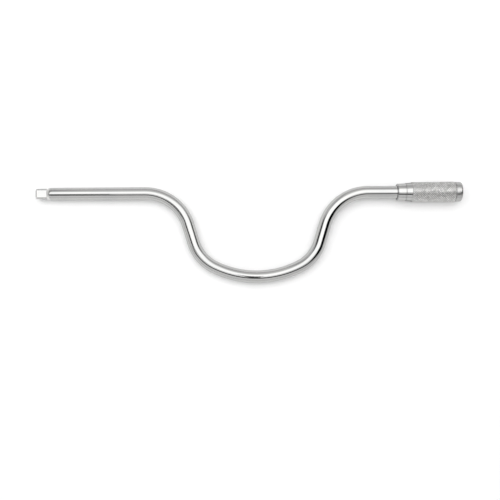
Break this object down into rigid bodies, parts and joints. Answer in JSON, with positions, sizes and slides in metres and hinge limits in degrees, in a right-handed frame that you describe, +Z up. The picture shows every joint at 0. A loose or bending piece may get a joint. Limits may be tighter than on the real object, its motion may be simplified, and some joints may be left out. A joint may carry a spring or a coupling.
{
  "type": "speed brace",
  "caption": "Cranked chromed bar with a square drive and sprung ball at one end and a knurled steel grip that spins freely at the other.",
  "frame": {"origin": "centre of the square drive's end face", "axes": "+X along the drive axis from the square to the grip, the bow hangs toward -Y, +Z up as the tool lies flat"},
  "size_m": [0.4, 0.0947, 0.0194],
  "materials": {
    "bar_chrome": "polished chrome plate",
    "grip_chrome": "turned and polished chrome plate",
    "knurl_chrome": "satin chrome plate over diamond knurling",
    "ball_steel": "polished bearing steel",
    "spring_steel": "oiled spring steel",
    "washer_steel": "plain ground steel",
    "bronze": "sintered bronze"
  },
  "bodies": {
    "crank": {"crank_bar": "bar_chrome", "detent_spring": "spring_steel", "thrust_washer": "washer_steel", "rear_washer": "washer_steel", "retaining_ring": "spring_steel"},
    "grip": {"front_collar": "grip_chrome", "grip_sleeve": "knurl_chrome", "front_bush": "bronze", "rear_bush": "bronze", "end_cap": "grip_chrome"},
    "detent": {"detent_ball": "ball_steel"}
  },
  "joints": [
    {"name": "grip_spin", "type": "hinge", "parent": "crank", "child": "grip", "pos_m": [0.36, 0, 0], "axis": [1, 0, 0], "continuous": true},
    {"name": "detent_press", "type": "slide", "parent": "crank", "child": "detent", "axis": [0, 1, 0], "range_m": [0, 0.0008], "stiffness_N_per_m": 4000, "springref_m": -0.0005, "deforming": ["detent_spring"]}
  ]
}
